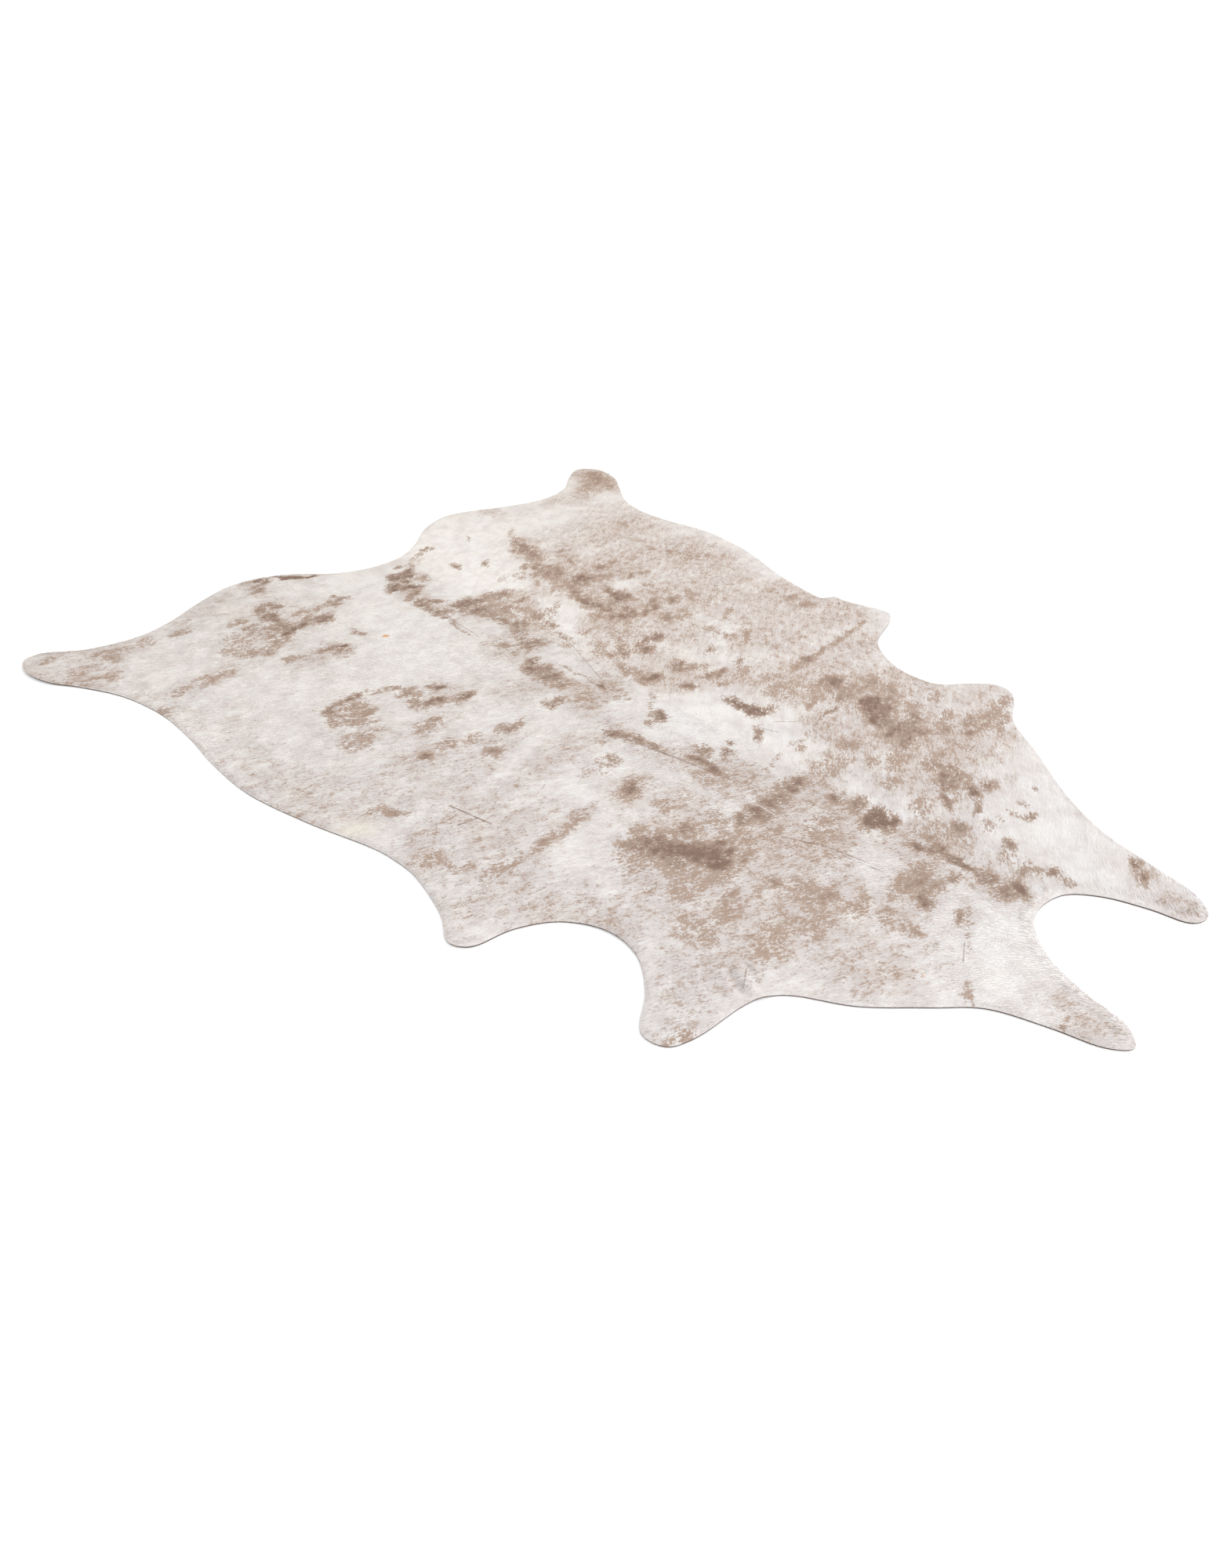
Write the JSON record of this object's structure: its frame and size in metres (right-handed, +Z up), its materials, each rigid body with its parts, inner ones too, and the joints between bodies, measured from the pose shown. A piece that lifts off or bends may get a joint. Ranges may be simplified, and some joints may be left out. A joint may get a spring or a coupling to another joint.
{
  "type": "cowhide rug",
  "caption": "Whole cowhide laid flat as a floor rug, hair side up, cut along its own outline with neck, forelegs, hind legs and tail notch.",
  "frame": {"origin": "on the underside, under the spine, midway between neck and rump", "axes": "+Y along the spine towards the rump and hind legs, +X across to the hide's right-hand flank as drawn, +Z up through the hair side"},
  "size_m": [1.843, 2.1787, 0.0099],
  "materials": {
    "hair": "short flat-lying hair, off-white with taupe and brown brindle patches, matt with a soft sheen",
    "flesh_side": "buffed suede underside and cut edge, matt grey-brown"
  },
  "bodies": {
    "root": {"hide": "hair"}
  },
  "joints": []
}
